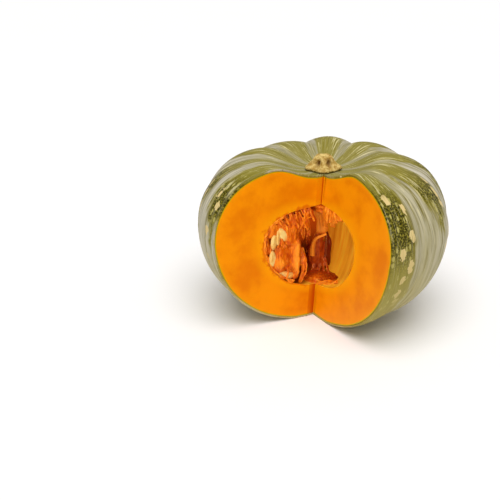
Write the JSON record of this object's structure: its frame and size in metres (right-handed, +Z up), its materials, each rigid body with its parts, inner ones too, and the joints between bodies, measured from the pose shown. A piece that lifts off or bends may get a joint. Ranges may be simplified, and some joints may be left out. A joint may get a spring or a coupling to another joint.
{
  "type": "pumpkin",
  "caption": "Round ribbed grey-green pumpkin with a wedge cut out, showing thick orange flesh, stringy pulp and flat seeds; it stands on its base and has a short corky stem.",
  "frame": {"origin": "on the stem's axis, at the surface that the pumpkin stands on", "axes": "+Z up along the stem, -Y out of the middle of the cut wedge, +X to the right as seen from the cut"},
  "size_m": [0.2383, 0.2077, 0.1586],
  "materials": {
    "rind": "waxy, satin",
    "flesh": "moist, satin",
    "stem": "dry, corky",
    "pulp": "wet",
    "seed": "moist, satin"
  },
  "bodies": {
    "root": {"rind": "rind", "flesh": "flesh", "stem": "stem", "pulp_left": "pulp", "pulp_back": "pulp", "pulp_right": "pulp", "pulp_curtain": "pulp", "seeds_left_upper": "seed", "seeds_left_lower": "seed", "seeds_floor": "seed", "seeds_back": "seed", "seeds_right": "seed"}
  },
  "joints": []
}
